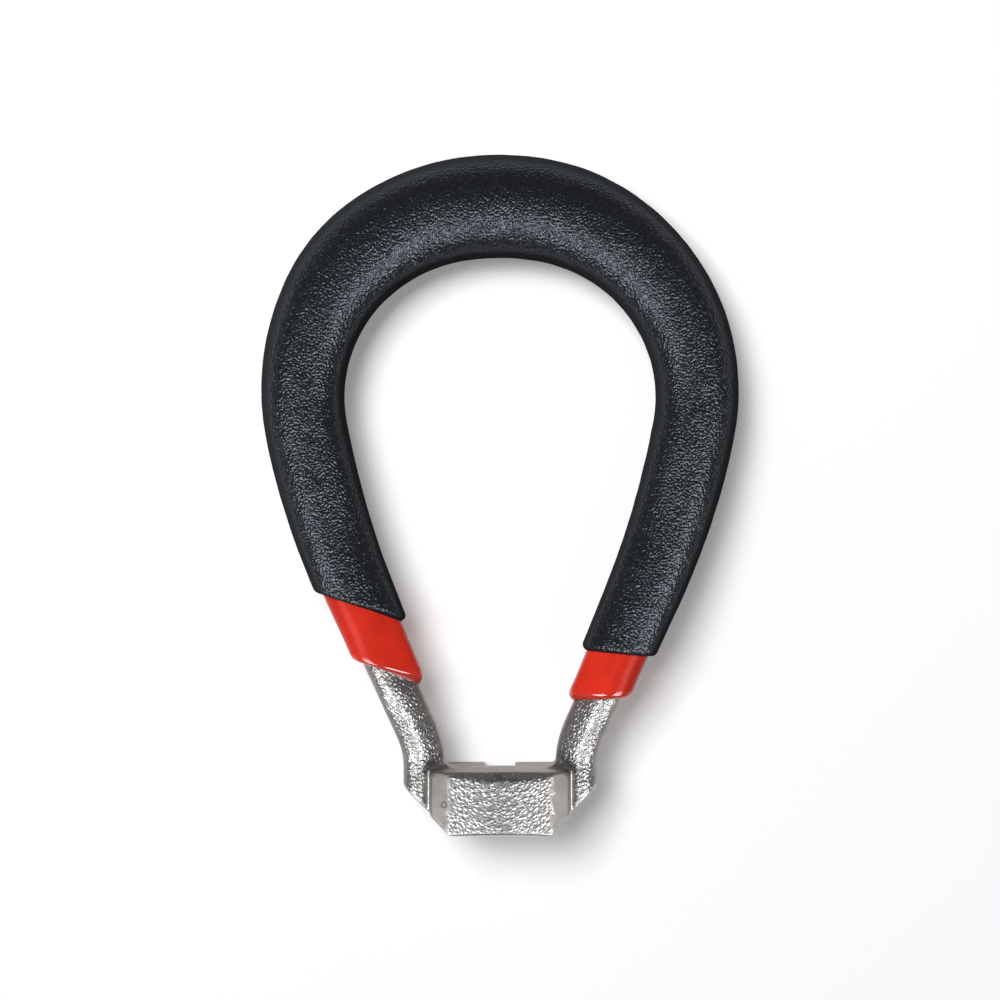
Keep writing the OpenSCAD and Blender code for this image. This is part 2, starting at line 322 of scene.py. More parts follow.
class Loop:
    """The bar's line and section and the head's main places, in the loop's own plane: X to the
    right, Y from the sole to the crown, Z towards the viewer. A place along the bar is its
    distance from the middle of the crown, and is negative on the left."""

    def __init__(self, scene):
        self.sizes = sizes = scene.loop_sizes
        self.head = head = scene.head_sizes
        self.dips = scene.dip_sizes
        self.lay_out()
        self.pad_side = sizes.leg_spacing / 2 - head.pad_inset
        self.face_side = self.pad_side - head.panel_width
        self.cut_line = sizes.leg_spacing / 2 + sizes.leg_width / 2 - head.corner_cut
        self.leg_front = sizes.leg_thickness / 2 - sizes.leg_setback
        self.leg_back = -sizes.leg_setback - sizes.leg_thickness / 2
        self.jaw_back = -head.seat_wall - head.slot_depth

    def lay_out(self):
        """Works out the stretches of the right half of the middle line. Each has its distance
        from the crown, the x, the y and the turn at its start, and its bend."""
        sizes, head = self.sizes, self.head
        lean = sizes.crown_turn + sizes.shoulder_turn + sizes.flank_turn - math.pi / 2
        bends = [
            (sizes.crown_bend_radius, sizes.crown_turn),
            (sizes.shoulder_bend_radius, sizes.shoulder_turn),
            (sizes.flank_bend_radius, sizes.flank_turn),
        ]
        run = x = y = turn = 0.0
        stretches = []
        for radius, bend in bends:
            stretches.append((run, x, y, turn, 1 / radius))
            x += radius * (math.sin(turn + bend) - math.sin(turn))
            y += radius * (math.cos(turn + bend) - math.cos(turn))
            turn += bend
            run += radius * bend
        inset = sizes.foot_bend_radius * (1 - math.cos(lean))
        arm = (x - inset - sizes.leg_spacing / 2) / math.sin(lean)
        stretches.append((run, x, y, turn, 0))
        x += arm * math.cos(turn)
        y -= arm * math.sin(turn)
        run += arm
        stretches.append((run, x, y, turn, -1 / sizes.foot_bend_radius))
        x = sizes.leg_spacing / 2
        y -= sizes.foot_bend_radius * math.sin(lean)
        run += sizes.foot_bend_radius * lean
        stretches.append((run, x, y, math.pi / 2, 0))
        self.stretches = np.array(stretches)
        self.starts = self.stretches[:, 0]
        ends = self.starts[1:].tolist()
        self.crown_end, self.shoulder_end, _, self.arm_end, self.leg_start = ends
        self.sole = self.leg_start + sizes.leg_run + head.height
        self.crown_y = head.height + sizes.leg_run - y

    def middle(self, s):
        """The middle line's x and y, and its turn, at each distance from the crown."""
        stretch = np.searchsorted(self.starts, s, side="right") - 1
        start, x, y, turn, bend = np.moveaxis(self.stretches[np.maximum(stretch, 0)], -1, 0)
        run = s - start
        half_turn = bend * run / 2
        chord = run * np.sinc(half_turn / math.pi)
        along = turn + half_turn
        return (
            x + chord * np.cos(along),
            y - chord * np.sin(along) + self.crown_y,
            turn + 2 * half_turn,
        )

    def tapered(self, s, crown, flank, leg):
        arm = self.arm_end - self.shoulder_end
        return np.where(
            s < self.shoulder_end,
            mix(crown, flank, s / self.shoulder_end),
            mix(flank, leg, (s - self.shoulder_end) / arm),
        )

    def half_width(self, s):
        sizes = self.sizes
        return self.tapered(s, sizes.crown_width, sizes.flank_width, sizes.leg_width) / 2

    def half_thickness(self, s):
        sizes = self.sizes
        crown, flank = sizes.crown_thickness, sizes.flank_thickness
        return self.tapered(s, crown, flank, sizes.leg_thickness) / 2

    def squareness(self, s):
        along = self.sizes.loop_squareness
        return self.tapered(s, along, along, self.sizes.leg_squareness)

    def setback(self, s):
        run = self.sizes.crank_run
        return mix(0, self.sizes.leg_setback, (s - self.leg_start + run) / run)

    def of_side(self, name, side):
        """The dips' size of this name, on one side."""
        return getattr(self.dips, f"{name}_right" if side > 0 else f"{name}_left")

    def first_end(self, side):
        return self.leg_start - self.of_side("bare_run", side)

    def second_end(self, side):
        return self.first_end(side) - self.of_side("band", side)

    def lag(self, s, side):
        """How far a ring runs ahead on the inside of the bar and lags on the outside, so that
        the dips end on a slant."""
        first_end, second_end = self.first_end(side), self.second_end(side)
        first = self.dips.first_thickness
        both = first + self.dips.second_thickness
        first_slant = math.tan(self.of_side("first_slant", side))
        second_slant = math.tan(self.of_side("second_slant", side))
        first_lag = (self.half_width(first_end) + first) * first_slant
        second_lag = (self.half_width(second_end) + both) * second_slant
        upper = mix(0, second_lag, (s - self.crown_end) / (second_end - self.crown_end))
        middle = mix(second_lag, first_lag, (s - second_end) / (first_end - second_end))
        lower = mix(first_lag, 0, (s - first_end) / (self.leg_start - first_end))
        return np.where(s < second_end, upper, np.where(s < first_end, middle, lower))

    def swell(self, s, side, across):
        """The small unevenness of the real bend, as an outward push."""
        bulge = np.exp(-(((s - SWELL_PLACE) / SWELL_RUN) ** 2))
        shoulder = bulge * np.where(side < 0, 1, -FALL_BACK_SHARE)
        return self.sizes.shoulder_swell * shoulder * np.clip(across, 0, 1)

    def inner_drop(self, across):
        """How far the front of an arm falls away, at each share of its half width."""
        inwards = (FALL_START_SHARE - across) / (1 + FALL_START_SHARE)
        return self.sizes.inner_fall * ease(inwards)

    def skin(self, stations, rises, angles):
        """Points round the bar: a row for each station, each standing its own rise off the
        bar, with a point at each angle from the outside of the bend towards the viewer."""
        station = np.asarray(stations, float)[:, None]
        rise = np.asarray(rises, float)[:, None]
        side = np.where(station < 0, LEFT, RIGHT)
        place = np.abs(station)
        exponent = 2 / self.squareness(place)
        across = power(np.cos(angles), exponent)
        up = power(np.sin(angles), exponent)
        lag = np.where(side > 0, self.lag(place, RIGHT), self.lag(place, LEFT))
        s = place - lag * across
        out = (self.half_width(s) + rise) * across + self.swell(s, side, across)
        fall = ease((place - self.shoulder_end) / FALL_RUN) * self.inner_drop(across)
        x, y, turn = self.middle(s)
        front = (self.half_thickness(s) + rise) * up - fall * np.clip(up, 0, 1)
        points = [
            side * (x + out * np.sin(turn)),
            y + out * np.cos(turn),
            front - self.setback(s),
        ]
        return np.stack(points, axis=-1)


def even_angles(count, half_width, half_thickness, squareness):
    """Angles that space the points of one ring evenly."""
    fine = np.linspace(0, 2 * math.pi, FINE_STEPS)
    x = half_width * power(np.cos(fine), 2 / squareness)
    z = half_thickness * power(np.sin(fine), 2 / squareness)
    way = np.concatenate([[0], np.cumsum(np.hypot(np.diff(x), np.diff(z)))])
    return np.interp(np.arange(count) / count * way[-1], way, fine)


def laid_down():
    """From the loop's own plane to the place where the wrench lies, found from the mount at
    the seat of the slot."""
    head = bpy.context.scene.head_sizes
    seat = next(m for m in frame["record"]["mounts"] if m["name"] == "nipple_seat")
    turn = Vector((0, 0, -1)).rotation_difference(Vector(seat["axis"])).to_matrix()
    in_loop = Vector((0, head.height / 2, -head.seat_wall))
    place = Vector(seat["pos_m"]) - turn @ in_loop
    return Matrix.Translation(place) @ turn.to_4x4()


def points_and_normals(mesh):
    """The place and the normal of each vertex."""
    read = []
    for data, name in ((mesh.vertices, "co"), (mesh.vertex_normals, "vector")):
        values = np.empty(len(data) * 3, np.float32)
        data.foreach_get(name, values)
        read.append(values.reshape(-1, 3))
    return read


def set_points(mesh, points):
    mesh.vertices.foreach_set("co", np.asarray(points, np.float32).ravel())
    mesh.update()


def write_attribute(mesh, name, values):
    attribute = mesh.attributes.new(name, "FLOAT", "POINT")
    attribute.data.foreach_set("value", np.asarray(values, np.float32))


def sampled_noise(points):
    """Smooth noise, from about -1 to 1, at each point."""
    perlin = "PERLIN_ORIGINAL"
    return np.array([noise.noise(Vector(point), noise_basis=perlin) for point in points])


def sampled_cells(points):
    """How far each point is from the border of its cell, in a pattern of uneven cells."""
    nearest = [noise.voronoi(Vector(point))[0] for point in points]
    return np.array([distances[1] - distances[0] for distances in nearest])


def new_object(name, mesh):
    made = bpy.data.objects.new(name, mesh)
    bpy.context.scene.collection.objects.link(made)
    return made


def tube_mesh(name, rows):
    """A closed ring of rings, as one mesh."""
    count, sides, _ = rows.shape
    row, side = np.meshgrid(np.arange(count), np.arange(sides), indexing="ij")
    next_row, next_side = (row + 1) % count, (side + 1) % sides
    corners = [
        row * sides + side,
        next_row * sides + side,
        next_row * sides + next_side,
        row * sides + next_side,
    ]
    mesh = bpy.data.meshes.new(name)
    faces = np.stack(corners, axis=-1).reshape(-1, 4)
    mesh.from_pydata(rows.reshape(-1, 3).tolist(), [], faces.tolist())
    mesh.update()
    return mesh


def apply_modifiers(made):
    """Turns the shown shape into the object's own mesh."""
    graph = bpy.context.evaluated_depsgraph_get()
    mesh = bpy.data.meshes.new_from_object(made.evaluated_get(graph))
    made.modifiers.clear()
    made.data = mesh


def finish_piece(made, node, material):
    """Lays the piece down, gives it its material and its body, and hides the model's part that it
    stands for.
    """
    mesh = made.data
    mesh.transform(laid_down())
    mesh.materials.clear()
    mesh.materials.append(material)
    mesh.polygons.foreach_set("use_smooth", [True] * len(mesh.polygons))
    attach(made, "root")
    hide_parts(node)


class Socket:
    """A socket of a node tree that takes part in plain arithmetic."""

    def __init__(self, tree, socket):
        self.tree = tree
        self.socket = socket

    def calculate(self, operation, *values):
        return self.tree.node(
            "ShaderNodeMath", {"operation": operation}, dict(enumerate(values))
        )[0]

    def __add__(self, other):
        return self.calculate("ADD", self, other)

    def __radd__(self, other):
        return self.calculate("ADD", other, self)

    def __sub__(self, other):
        return self.calculate("SUBTRACT", self, other)

    def __rsub__(self, other):
        return self.calculate("SUBTRACT", other, self)

    def __mul__(self, other):
        return self.calculate("MULTIPLY", self, other)

    def __rmul__(self, other):
        return self.calculate("MULTIPLY", other, self)

    def __abs__(self):
        return self.calculate("ABSOLUTE", self)

    def at_least(self, other):
        """The larger of two values."""
        return self.calculate("MAXIMUM", self, other)

    def sway(self, depth):
        """A pattern that runs from 0 to 1, as a change to both sides of nothing."""
        return (self - 0.5) * depth

    def between(self, low, high):
        """0 below low, 1 above high, and a smooth rise from one to the other."""
        return self.tree.node(
            "ShaderNodeMapRange",
            {"interpolation_type": "SMOOTHSTEP"},
            {"Value": self, "From Min": low, "From Max": high},
        )[0]


class Tree:
    """A node tree, and the one way in which nodes are put into it."""

    def __init__(self, owner):
        owner.use_nodes = True
        self.tree = owner.node_tree
        self.tree.nodes.clear()

    def node(self, kind, settings=None, inputs=None):
        """Adds a node, sets it up, fills or links its inputs, and gives back its enabled
        outputs in their order."""
        made = self.tree.nodes.new(kind)
        for name, value in (settings or {}).items():
            setattr(made, name, value)
        for name, value in (inputs or {}).items():
            socket = made.inputs[name]
            if isinstance(value, Socket):
                self.tree.links.new(value.socket, socket)
            else:
                socket.default_value = value
        return [Socket(self, output) for output in made.outputs if output.enabled]

    def blend(self, amount, low, high):
        """A colour that goes from low to high with an amount."""
        low, high = (v if isinstance(v, Socket) else (*v, 1) for v in (low, high))
        return self.node(
            "ShaderNodeMix",
            {"data_type": "RGBA"},
            {"Factor": amount, MIX_A: low, MIX_B: high},
        )[0]

    def noise(self, place, size, detail=2.0):
        """Noise whose features are about as large as size."""
        return self.node(
            "ShaderNodeTexNoise",
            None,
            {"Vector": place, "Scale": 1 / size, "Detail": detail},
        )[0]

    def bump(self, height, depth):
        return self.node(
            "ShaderNodeBump", None, {"Height": height, "Distance": depth, "Strength": 1.0}
        )[0]

    def grazing(self, low, high):
        """0 where a face is seen square on, rising to 1 where it is seen edge on."""
        _, facing = self.node("ShaderNodeLayerWeight", None, {"Blend": 0.5})
        return facing.between(low, high)

    def attribute(self, name):
        """A value that the mesh carries."""
        _, _, value, _ = self.node(
            "ShaderNodeAttribute", {"attribute_name": name, "attribute_type": "GEOMETRY"}
        )
        return value

    def place(self):
        """Each point's place on the object, in metres."""
        _, _, _, place, *_ = self.node("ShaderNodeTexCoord")
        return place

    def stretched(self, place, factors):
        """A place, drawn out along its axes."""
        return self.node(
            "ShaderNodeVectorMath", {"operation": "MULTIPLY"}, {0: place, 1: factors}
        )[0]

    def distance(self, place, point):
        """How far each place is from a point."""
        return self.node(
            "ShaderNodeVectorMath", {"operation": "DISTANCE"}, {0: place, 1: point}
        )[0]

    def shader(self, **inputs):
        """A surface shader, with its sockets given by name."""
        named = {name.replace("_", " ").title(): v for name, v in inputs.items()}
        named = {name.replace("Ior", "IOR"): value for name, value in named.items()}
        return self.node("ShaderNodeBsdfPrincipled", None, named)[0]

    def finish(self, shader):
        self.node("ShaderNodeOutputMaterial", None, {"Surface": shader})


def new_material(name):
    material = bpy.data.materials.new(name)
    return material, Tree(material)


def dimmed(base, part):
    """A colour at a part of its strength."""
    return tuple(part * value for value in base)


def grey(level):
    return (level, level, level)


def cast_nickel():
    """Nickel plate on a casting: pebbles painted bright over pits painted dark, as painted
    highlight and shade, and smooth where it was ground.
    """
    head = bpy.context.scene.head_sizes
    grain_size, cloud_size, scratch_size = 0.00022, 0.0021, 0.00014
    ring_line, bump_depth = (0.00003, 0.00013), 0.00003
    material, tree = new_material("cast_nickel")
    place = tree.place()
    relief, ground, wear_and_highlight = map(tree.attribute, ("relief", "ground", "wear_and_highlight"))
    fine = tree.noise(place, grain_size, detail=3)
    cloud = tree.noise(place, cloud_size)
    scratches = tree.noise(tree.stretched(place, (1, 0.12, 1)), scratch_size)
    # Pebble tops take the pebbles' colour as painted highlight and pits the darker pit colour as
    # painted shade; the relief attribute also brings the plate's other painted shade and
    # highlights.
    bright = (relief + fine.sway(0.3)).between(0.1, 0.7)
    cast = tree.blend(bright, head.pit_colour, head.pebble_colour)
    clouded = (cloud + fine.sway(0.5)).between(0.3, 0.7)
    smooth = tree.blend(clouded, dimmed(head.ground_colour, 0.78), head.ground_colour)
    from_mark = tree.distance(place, laid_down() @ Vector(head.mark_place))
    off_ring = abs(from_mark - head.mark_radius).between(*ring_line)
    marked = tree.blend(off_ring, dimmed(head.ground_colour, 0.4), smooth)
    plain = tree.blend(ground, cast, marked)
    height = (1 - ground) * fine + ground * scratches * 0.25
    # Along the worn and highlit edges the plate takes the pebbles' bright colour and a smoother
    # finish: partly wear, partly painted highlight.
    steel = tree.shader(
        base_color=tree.blend(wear_and_highlight, plain, head.pebble_colour),
        metallic=1.0,
        roughness=0.35 + (ground - wear_and_highlight) * 0.18,
        normal=tree.bump(height, bump_depth),
    )
    tree.finish(steel)
    return material


def glossy_vinyl():
    """A smooth dip, which is wet and glossy where it ran into a bead at its ends."""
    dips = bpy.context.scene.dip_sizes
    cloud_size, ripple_size, bump_depth = 0.004, 0.0012, 0.00001
    material, tree = new_material("first_vinyl")
    place = tree.place()
    cloud = tree.noise(place, cloud_size)
    ripple = tree.noise(place, ripple_size, detail=1)
    deep = dimmed(dips.first_colour, 0.86)
    vinyl = tree.shader(
        base_color=tree.blend(cloud.between(0.3, 0.7), deep, dips.first_colour),
        roughness=0.25 + cloud.sway(0.05),
        specular_ior_level=0.08,
        coat_weight=tree.attribute("bead"),
        coat_roughness=0.06,
        coat_ior=1.9,
        normal=tree.bump(ripple, bump_depth),
    )
    tree.finish(vinyl)
    return material


def grained_vinyl():
    """A dip with a fine grain, its valleys painted darker than its tops as painted shade and sheen,
    and matt at the edges, where a flat colour stands in for their reflection as painted reflection.
    """
    dips = bpy.context.scene.dip_sizes
    cloud_size, bump_depth = 0.006, 0.0001
    cool_shine = (0.78, 0.87, 1, 1)
    material, tree = new_material("second_vinyl")
    place = tree.place()
    height = tree.noise(place, dips.grain_size, detail=0)
    cloud = tree.noise(place, cloud_size)
    # Painted shade and sheen: the grain's valleys are painted darker than its tops.
    dark = dimmed(dips.second_colour, 0.6)
    vinyl = tree.shader(
        base_color=tree.blend(height.between(0.4, 0.9), dark, dips.second_colour),
        roughness=0.28 + cloud.sway(0.08),
        ior=1.65,
        specular_tint=cool_shine,
        normal=tree.bump(height, bump_depth),
    )
    matt = tree.shader(
        base_color=(*dips.edge_sheen_colour, 1), roughness=1.0, specular_ior_level=0.0
    )
    both = {0: tree.grazing(0.12, 0.5), 1: vinyl, 2: matt}
    tree.finish(tree.node("ShaderNodeMixShader", None, both)[0])
    return material


def prism(outline, low, high, place):
    """A solid between two levels, from an outline. The place says where a corner goes."""
    block = bmesh.new()
    ends = [[block.verts.new(place(a, b, at)) for a, b in outline] for at in (low, high)]
    block.faces.new(ends[0])
    block.faces.new(ends[1][::-1])
    for i in range(len(outline)):
        j = (i + 1) % len(outline)
        block.faces.new((ends[0][j], ends[0][i], ends[1][i], ends[1][j]))
    bmesh.ops.recalc_face_normals(block, faces=block.faces)
    return block


def from_sole_up(x, z, level):
    return x, level, z


def from_back_to_front(x, y, level):
    return x, y, level


def mirrored(outline):
    """An outline of the right half, carried on round the left."""
    return outline + [(-x, z) for x, z in reversed(outline)]


def hollow(x, y, width, height, steps):
    """The points of a hollow quarter round, which starts beside a corner and ends above it."""
    turns = np.linspace(0, math.pi / 2, steps)
    return [
        (x + width * (1 - math.sin(turn)), y + height * (1 - math.cos(turn)))
        for turn in turns
    ]


def cut_away(block, point, normal):
    """Takes off what lies beyond a plane, and closes the cut."""
    cut = bmesh.ops.bisect_plane(
        block,
        geom=block.verts[:] + block.edges[:] + block.faces[:],
        plane_co=point,
        plane_no=normal,
        clear_outer=True,
        dist=ON_CUT,
    )["geom_cut"]
    edges = [part for part in cut if isinstance(part, bmesh.types.BMEdge)]
    if edges:
        bmesh.ops.contextual_create(block, geom=edges)
    bmesh.ops.recalc_face_normals(block, faces=block.faces)


def cut_corners(block, loop, front):
    """Takes off the outer corners of the head, and wears the edges of a front face."""
    edge = loop.head.edge_round
    face = Vector((0, 0, 1))
    for side in SIDES:
        corner = Vector((side * loop.cut_line, 0, 0))
        out = Vector((side, -1, 0)).normalized()
        cut_away(block, corner, out)
        worn = corner + front * face - edge * out
        cut_away(block, worn, out + CORNER_SLOPE * face)
    cut_away(block, (0, edge, front), (0, -1, SOLE_SLOPE))


def head_block(loop):
    """The head between the legs, before its slot is cut."""
    head = loop.head
    top, front = head.height, head.pad_stand
    jaw_half = head.slot_width / 2 + head.jaw_wall
    jaw_edge = loop.jaw_back + head.jaw_bevel
    outline = [
        (part * loop.face_side, front - head.pad_crown * part**2)
        for part in (0.25, 0.5, 0.75, 1)
    ]
    outline += [
        (loop.pad_side, front - head.pad_crown - head.panel_fall),
        (loop.pad_side, loop.leg_back),
        (jaw_half, jaw_edge),
        (jaw_half - head.jaw_bevel, loop.jaw_back),
    ]
    block = prism(mirrored(outline), 0, top, from_sole_up)
    cut_away(block, (0, top - head.top_bevel, front), (0, 1, TOP_BEVEL_SLOPE))
    cut_away(block, (0, 0, front - head.sole_bevel), (0, -1, 1))
    cut_away(block, (0, top, jaw_edge), (0, 1, -1))
    cut_away(block, (0, 0, jaw_edge), (0, -1, -1))
    for side in SIDES:
        corner = (side * (loop.pad_side - head.pad_corner), top, 0)
        cut_away(block, corner, (side, 1, 0))
    cut_corners(block, loop, front)
    return block


def slot_cutter(loop):
    """What the nipple slot and the bevels of its mouth take out of the head."""
    head = loop.head
    half, mouth = head.slot_width / 2, head.mouth_bevel
    outline = [
        (half, -head.seat_wall),
        (half, loop.jaw_back + mouth),
        (half + mouth, loop.jaw_back),
        (half + mouth, loop.jaw_back - OVERRUN),
    ]
    return prism(mirrored(outline), -OVERRUN, head.height + OVERRUN, from_sole_up)


def leg_fillet(loop, side):
    """The cast fillet between the inner side of a leg and the top of the head."""
    sizes, head = loop.sizes, loop.head
    inner = sizes.leg_spacing / 2 - sizes.leg_width / 2
    low, deep = head.height / 2, inner + sizes.leg_width / 3
    thickness_share = 0.98
    outline = hollow(
        inner, head.height, -head.fillet_width, head.fillet_height, LEG_FILLET_STEPS
    )
    outline += [(deep, outline[-1][1]), (deep, low), (outline[0][0], low)]
    outline = [(side * x, y) for x, y in outline]
    drop = float(loop.inner_drop(-1))
    front = loop.leg_back + sizes.leg_thickness * thickness_share - drop
    return prism(outline, loop.leg_back + SUNK, front, from_back_to_front)


def wall_fillet(loop, side):
    """The fillet between the side of the pad and the front of a leg."""
    head, wall = loop.head, loop.pad_side
    drop = float(loop.inner_drop(-2 * head.pad_inset / loop.sizes.leg_width))
    front = loop.leg_front - drop
    radius = head.wall_fillet
    outline = hollow(wall, front, radius, radius, WALL_FILLET_STEPS)
    root = wall - radius
    outline += [(root, front), (root, front - radius), (wall + radius, front - radius)]
    outline = [(side * x, z) for x, z in outline]
    block = prism(outline, 0, head.height, from_sole_up)
    cut_corners(block, loop, front + 2 * radius)
    return block


def swept_bar(loop, stations, rise, ring):
    """A solid length of the bar."""
    block = bmesh.new()
    rows = loop.skin(stations, np.full(len(stations), rise), even_angles(*ring))
    rings = [[block.verts.new(point) for point in row] for row in rows]
    for ring, after in zip(rings, rings[1:]):
        for i in range(len(ring)):
            j = (i + 1) % len(ring)
            block.faces.new((ring[i], after[i], after[j], ring[j]))
    block.faces.new(rings[0])
    block.faces.new(rings[-1])
    bmesh.ops.recalc_face_normals(block, faces=block.faces)
    return block


def leg(loop, side):
    """The bare end of the bar, from under the first dip down to the sole."""
    places = np.linspace(loop.first_end(side) - LEG_REACH, loop.sole, LEG_ROWS)
    block = swept_bar(loop, side * places, 0, LEG_RING)
    cut_corners(block, loop, loop.leg_front)
    return block


def covered_bar(loop):
    """The rest of the bar, which the dips cover."""
    left, right = (loop.first_end(side) - COVERED_REACH for side in SIDES)
    return swept_bar(loop, np.linspace(-left, right, COVERED_ROWS), -SUNK, COVERED_RING)


def bench_object(name, *blocks):
    """One object of several blocks, at the bench's scale."""
    joined = bmesh.new()
    for block in blocks:
        mesh = bpy.data.meshes.new(name)
        block.to_mesh(mesh)
        block.free()
        joined.from_mesh(mesh)
        bpy.data.meshes.remove(mesh)
    mesh = bpy.data.meshes.new(name)
    joined.to_mesh(mesh)
    joined.free()
    mesh.transform(TO_BENCH)
    return new_object(name, mesh)


def combine(made, other, operation, solver):
    """Adds another object to this one or cuts it away, and takes that object out."""
    modifier = made.modifiers.new("Combine", "BOOLEAN")
    modifier.object = other
    modifier.operation = operation
    modifier.solver = solver
    apply_modifiers(made)
    bpy.data.objects.remove(other)


def casting_shape(loop):
    """The head and both legs as one softened skin, at the bench's scale."""
    made = bench_object("steel_casting", head_block(loop))
    combine(made, bench_object("slot", slot_cutter(loop)), "DIFFERENCE", "EXACT")
    block = bmesh.new()
    block.from_mesh(made.data)
    block.transform(FROM_BENCH)
    bpy.data.objects.remove(made)
    parts = [part(loop, side) for part in (leg, leg_fillet, wall_fillet) for side in SIDES]
    made = bench_object("steel_casting", block, *parts)
    remesh = made.modifiers.new("Grid", "REMESH")
    remesh.mode = "VOXEL"
    remesh.voxel_size = loop.head.grid * BENCH_SCALE
    soften = made.modifiers.new("Soften", "SMOOTH")
    soften.factor = 0.5
    soften.iterations = 5
    apply_modifiers(made)
    return made


def pebbles(points, head):
    """The height of the cast pebbles at each point, from 0 in a pit to 1 on a pebble. They
    slope up and outwards on each side of the middle, where the two patterns meet."""
    warp_share, warp_size, pattern_gap = 0.4, 0.0009, 9.3
    meeting_width, top_share = 0.0006, 0.55
    x, y, z = points.T
    cosine, sine = math.cos(head.pebble_tilt), math.sin(head.pebble_tilt)
    warp = warp_share * sampled_noise(points / warp_size)
    heights = []
    for side in SIDES:
        along = (side * x * cosine + y * sine) / head.pebble_length
        over = (y * cosine - side * x * sine) / head.pebble_width
        spots = [along + warp + pattern_gap * side, over + warp, z / head.pebble_width]
        heights.append(sampled_cells(np.stack(spots, axis=-1)))
    height = mix(*heights, x / meeting_width + 0.5)
    return ease(height / top_share)


def worn_and_highlit_edges(points, facing, in_head, loop):
    """How bright each edge is painted: along the cut corners and the sole, partly as edges worn
    bright and partly as painted highlight, and beside the pad as a painted highlight where the
    fillet meets the leg."""
    rim_width, sole_width = 0.00025, 0.00032
    glint_width, glint_place = 0.00018, 0.00022
    least_facing = 0.15
    x, y, _ = points.T
    out = np.abs(x)
    rim = near((loop.cut_line + y - out) / math.sqrt(2), rim_width)
    sole = near(y, sole_width)
    fillet_glint = near(np.abs(out - loop.pad_side - glint_place), glint_width) * in_head
    return np.maximum(np.maximum(rim, sole), fillet_glint) * (facing > least_facing)


def as_cast(mesh, loop):
    """How far each point is as cast, from 0 where it was ground to 1 where it was not, and how
    bright its edges are painted, partly as wear and partly as painted highlight."""
    least_square, square_range = 0.62, 0.2
    past_top, pad_depth, back_depth = 0.0003, 0.001, 0.005
    ragged_width, ragged_size = 0.0007, 0.0008
    points, normals = points_and_normals(mesh)
    facing = normals[:, 2]
    x, y, z = points.T
    out = np.abs(x)
    in_head = y < loop.head.height + past_top
    cast = ease((np.abs(facing) - least_square) / square_range)
    on_pad = in_head & (out < loop.pad_side) & (z > pad_depth)
    ragged = loop.face_side - out + ragged_width * sampled_noise(points / ragged_size)
    cast = np.where(on_pad, cast * ease(ragged / ragged_width + 0.5), cast)
    cast = np.where(in_head & (z < -back_depth), 0, cast)
    bright = worn_and_highlit_edges(points, facing, in_head, loop)
    return cast * (1 - bright), bright


def refine_front(made, loop):
    """Halves the mesh's spacing where the pebbles face the viewer."""
    past_dip, least_facing, least_cast = 0.002, 0.3, 0.05
    cast, _ = as_cast(made.data, loop)
    bare = loop.middle(np.array([loop.first_end(LEFT) - past_dip]))[1][0]
    block = bmesh.new()
    block.from_mesh(made.data)
    block.verts.ensure_lookup_table()
    front = [
        face
        for face in block.faces
        if face.normal.z > least_facing
        and face.calc_center_median().y < bare
        and max(cast[corner.index] for corner in face.verts) > least_cast
    ]
    edges = {edge for face in front for edge in face.edges}
    bmesh.ops.subdivide_edges(block, edges=list(edges), cuts=1, use_grid_fill=True)
    block.to_mesh(made.data)
    block.free()


def nickel_tone(points, relief, cast, on_leg, head):
    """How bright the plate is painted, from 0 in a pit to 1 on a pebble. As painted shade it is
    darker on the legs, the more so above the head, down the middle of the pad, and in the crease
    under the top bevel. As painted highlight it is bright on the top bevel."""
    leg_shading, arm_shading, arm_run = 0.2, 0.3, 0.004
    bevel_lightening, bevel_blend = 0.4, 0.0003
    middle_shading, middle_width = 0.3, 2 * head.pebble_length
    crease_width, patch_share, patch_size, patch_lean = 0.00025, 0.9, 0.0014, 0.008
    x, y, _ = points.T
    above_head = y - head.height
    above_bevel = above_head + head.top_bevel
    legs = (leg_shading + arm_shading * ease(above_head / arm_run)) * on_leg
    bevel = bevel_lightening * ease(above_bevel / bevel_blend) * (1 - on_leg)
    middle = middle_shading * np.exp(-((x / middle_width) ** 2)) * (1 - on_leg)
    # Painted shade in the crease under the top bevel, patchy and stronger towards the right.
    crease = np.exp(-((above_bevel / crease_width) ** 2))
    patches = patch_share * sampled_noise(points / patch_size)
    crease *= ease(0.5 + patches + x / patch_lean)
    return (relief - legs + bevel - middle) * (1 - crease * cast)


def steel_relief(made, loop):
    """Raises the cast pebbles, and notes where the steel is cast and where it is ground. The
    pebbles are higher on the legs, and less so where those face inwards."""
    leg_blend, leg_share, inner_share, inner_gain = 0.0004, 0.6, 0.4, 2.2
    head, mesh = loop.head, made.data
    points, normals = points_and_normals(mesh)
    cast, bright = as_cast(mesh, loop)
    relief = pebbles(points, head)
    x, y, _ = points.T
    past_pad = (np.abs(x) - loop.pad_side) / leg_blend
    on_leg = ease(past_pad + (y - head.height) / leg_blend)
    inward = ease(-inner_gain * np.sign(x) * normals[:, 0])
    gain = 1 + (leg_share - inner_share * inward) * on_leg
    height = cast * head.pebble_height * (relief - 1) * gain
    tone = nickel_tone(points, relief, cast, on_leg, head)
    set_points(mesh, points + normals * height[:, None])
    # The relief attribute carries the plate's painted highlight and shade, and the last attribute
    # its worn edges and painted edge highlights.
    write_attribute(mesh, "relief", tone)
    write_attribute(mesh, "ground", 1 - cast)
    write_attribute(mesh, "wear_and_highlight", bright)


